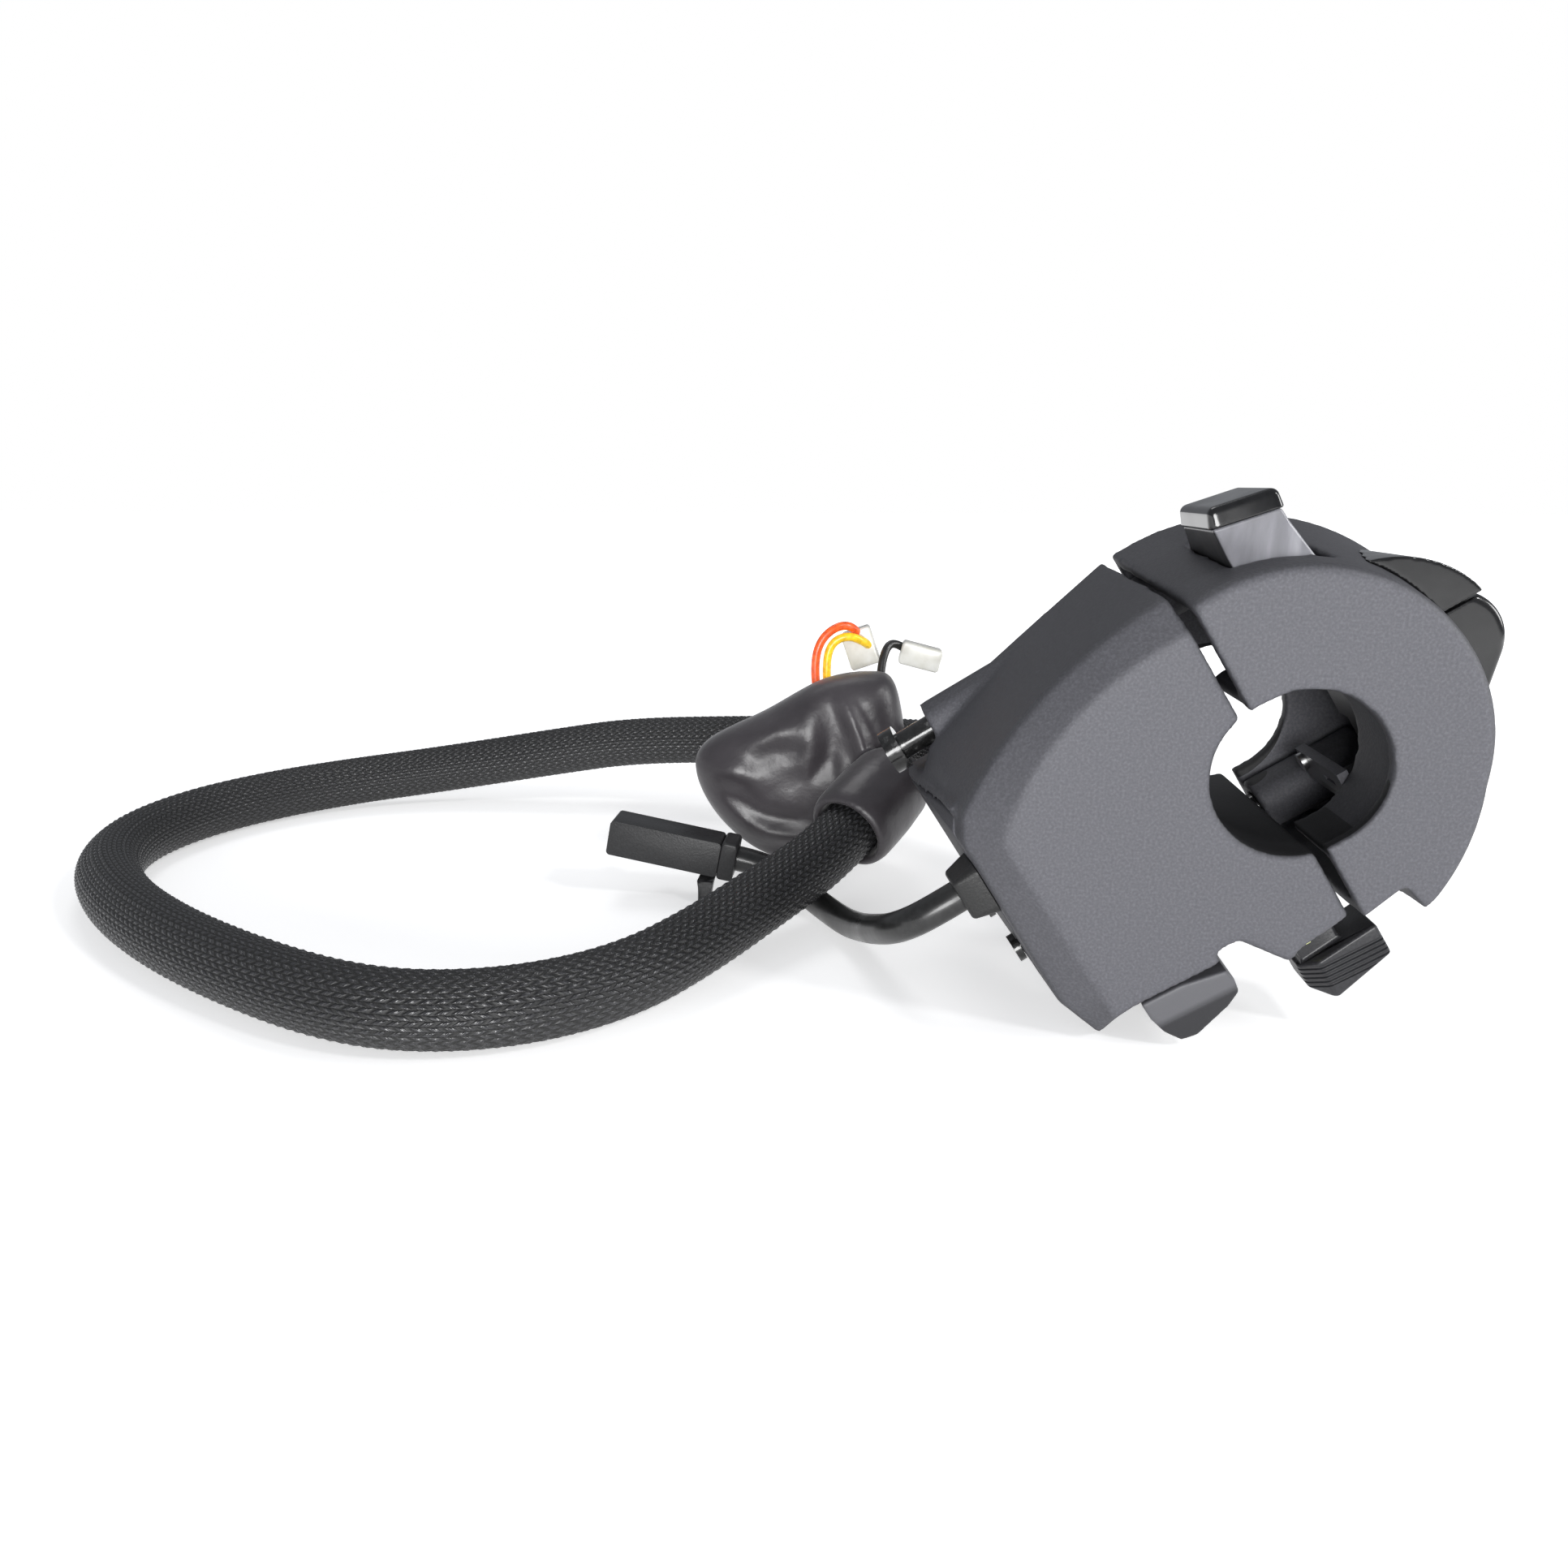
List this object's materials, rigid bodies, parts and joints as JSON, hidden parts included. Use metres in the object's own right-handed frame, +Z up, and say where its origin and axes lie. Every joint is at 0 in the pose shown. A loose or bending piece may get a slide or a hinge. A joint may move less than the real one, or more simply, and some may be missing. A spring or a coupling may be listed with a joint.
{
  "type": "handlebar switch cluster",
  "caption": "Two-piece grey switch housing that clamps a handlebar, with dimmer rocker, turn signal slide, horn button, pass trigger, and a braided harness with boot and clutch switch.",
  "frame": {"origin": "bottom centre of the housing with its buttons and screws, cords left out", "axes": "+Z up as it lies on the table, +Y along the handlebar towards its middle, +X towards the rear half"},
  "size_m": [0.2531, 0.1419, 0.0786],
  "materials": {
    "case": "fine grain",
    "gloss_black": "gloss",
    "black_plastic": "satin",
    "grey_plastic": "satin",
    "trigger_plastic": "satin",
    "inner_plastic": "matte",
    "lime_plastic": "satin",
    "rubber": "matte",
    "braid": "braided, satin",
    "lead": "smooth",
    "boot": "soft sheen",
    "milky": "translucent white",
    "yellow": "smooth",
    "red": "smooth",
    "steel": "zinc plated"
  },
  "bodies": {
    "housing": {"front_case": "case", "front_cover": "case", "rear_case": "case", "turn_bezel": "gloss_black", "cable_grommet": "rubber", "turn_base": "inner_plastic", "turn_bracket": "inner_plastic", "base_screws": "steel", "contact_rivet": "steel", "dimmer_pin": "steel", "dimmer_base": "inner_plastic", "dimmer_spring": "steel", "dimmer_ball": "steel", "horn_base": "inner_plastic", "pass_pin": "steel", "pass_spring": "steel", "pass_switch": "inner_plastic", "case_screws": "steel", "cover_screws": "steel", "harness_relief": "rubber", "harness_sleeve": "braid", "clutch_lead": "lead", "clutch_collar": "black_plastic", "clutch_switch": "black_plastic", "clutch_peg": "black_plastic", "harness_boot": "boot", "connector_socket": "milky", "connector_plug": "milky", "wire_yellow": "yellow", "wire_red": "red", "wire_black": "lead"},
    "dimmer_rocker": {"dimmer_stem": "grey_plastic", "dimmer_cap": "gloss_black"},
    "turn_carriage": {"turn_slider": "inner_plastic"},
    "turn_push": {"turn_knob": "gloss_black", "turn_spring": "steel"},
    "horn_push": {"horn_button": "black_plastic", "horn_insert": "lime_plastic", "horn_spring": "steel"},
    "pass_lever": {"pass_trigger": "trigger_plastic"},
    "clutch_push": {"clutch_plunger": "gloss_black", "clutch_spring": "steel"}
  },
  "joints": [
    {"name": "dimmer_swing", "type": "hinge", "parent": "housing", "child": "dimmer_rocker", "pos_m": [0.01303, -0.0064, 0.06304], "axis": [0, 1, 0], "range_deg": [0, 10]},
    {"name": "turn_slide", "type": "slide", "parent": "housing", "child": "turn_carriage", "axis": [0, 1, 0], "range_m": [-0.004, 0.004]},
    {"name": "turn_cancel", "type": "slide", "parent": "turn_carriage", "child": "turn_push", "axis": [-0.8434, 0, -0.5373], "range_m": [0, 0.0015], "stiffness_N_per_m": 400, "springref_m": -0.001},
    {"name": "horn_press", "type": "slide", "parent": "housing", "child": "horn_push", "axis": [0, 1, 0], "range_m": [0, 0.002], "stiffness_N_per_m": 400, "springref_m": -0.001},
    {"name": "pass_pull", "type": "hinge", "parent": "housing", "child": "pass_lever", "pos_m": [-0.00435, -0.0158, 0.01605], "axis": [0, -1, 0], "range_deg": [0, 8], "stiffness_Nm_per_rad": 0.05, "springref_deg": -11.46},
    {"name": "clutch_press", "type": "slide", "parent": "housing", "child": "clutch_push", "axis": [0, -1, 0], "range_m": [0, 0.0025], "stiffness_N_per_m": 300, "springref_m": -0.001}
  ]
}
